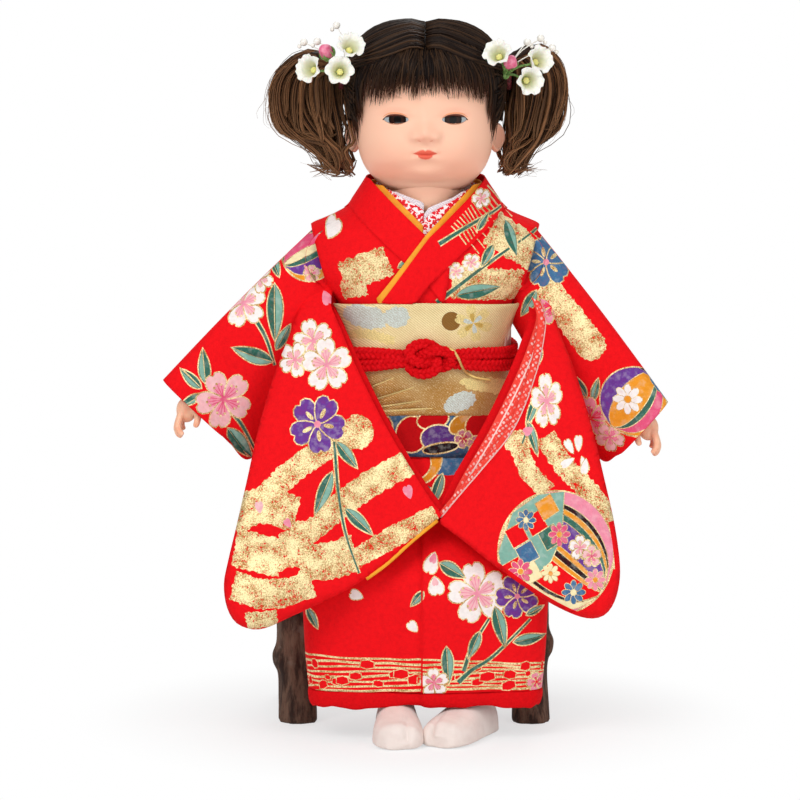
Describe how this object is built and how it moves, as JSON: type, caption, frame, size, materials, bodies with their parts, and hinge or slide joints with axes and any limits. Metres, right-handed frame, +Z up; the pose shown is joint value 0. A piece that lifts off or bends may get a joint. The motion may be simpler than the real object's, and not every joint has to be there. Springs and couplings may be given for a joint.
{
  "type": "ichimatsu doll",
  "caption": "Seated girl doll in a red printed long-sleeved kimono with a gold sash and pigtails, on a low stool of branch wood.",
  "frame": {"origin": "on the floor under the middle of the whole part", "axes": "+Z up, -Y the way the doll faces, +X to the doll's left"},
  "size_m": [0.259, 0.1754, 0.3656],
  "materials": {
    "bark": "bark",
    "board": "oiled",
    "red_print": "crepe with print",
    "orange_cloth": "plain",
    "white_cloth": "plain",
    "pink_cloth": "tie-dyed",
    "brocade": "gold brocade",
    "cord": "braided",
    "gold_thread": "metallic",
    "skin": "satin",
    "hair": "glossy fibre",
    "eye": "polished",
    "petal": "stiff",
    "bud": "stiff",
    "pearl": "pearl",
    "stem": "wrapped wire",
    "stuffing": "stuffed",
    "tie": "elastic"
  },
  "bodies": {
    "stool": {"stool_leg_front_right": "bark", "stool_leg_front_left": "bark", "stool_leg_back_right": "bark", "stool_leg_back_left": "bark", "stool_seat": "board"},
    "doll": {"white_neckband": "white_cloth", "juban_collar": "white_cloth", "orange_collar": "orange_cloth", "kimono_collar": "red_print", "kimono_bodice": "red_print", "torso_core": "stuffing", "kimono_skirt": "red_print", "padded_hem": "red_print", "waist_fold": "red_print", "obi_band": "brocade", "obi_cord_upper": "cord", "obi_cord_lower": "cord", "obi_cord_knot": "cord", "gold_thread": "gold_thread", "obi_bow_right": "brocade", "obi_bow_left": "brocade", "obi_bow_knot": "brocade", "obi_bow_tail": "brocade", "right_tabi": "white_cloth", "right_leg": "stuffing", "left_tabi": "white_cloth", "left_leg": "stuffing"},
    "head": {"right_eye": "eye", "left_eye": "eye", "head_shell": "skin", "hair_cap": "hair", "hair_fringe": "hair", "right_hair_tie": "tie", "right_pigtail": "hair", "right_blossom_1": "petal", "right_blossom_2": "petal", "right_blossom_3": "petal", "right_bud": "bud", "right_pearl_spray": "pearl", "right_flower_pin": "stem", "left_hair_tie": "tie", "left_pigtail": "hair", "left_blossom_1": "petal", "left_blossom_2": "petal", "left_blossom_3": "petal", "left_bud": "bud", "left_pearl_spray": "pearl", "left_flower_pin": "stem"},
    "left_arm": {"left_arm": "stuffing", "left_hand": "skin", "left_sleeve": "red_print", "left_under_sleeve": "pink_cloth"},
    "right_arm": {"right_arm": "stuffing", "right_hand": "skin", "right_sleeve": "red_print", "right_under_sleeve": "pink_cloth"}
  },
  "joints": [
    {"name": "lift_off", "type": "slide", "parent": "stool", "child": "doll", "axis": [0, 0, 1], "range_m": [0, 0.12]},
    {"name": "head_turn", "type": "hinge", "parent": "doll", "child": "head", "pos_m": [0.0045, 0.02646, 0.277], "axis": [0, 0, 1], "range_deg": [-45, 45]},
    {"name": "left_shoulder", "type": "hinge", "parent": "doll", "child": "left_arm", "pos_m": [0.0495, 0.02446, 0.242], "axis": [0, -1, 0], "range_deg": [0, 30]},
    {"name": "right_shoulder", "type": "hinge", "parent": "doll", "child": "right_arm", "pos_m": [-0.0405, 0.02446, 0.242], "axis": [0, 1, 0], "range_deg": [0, 30]}
  ]
}
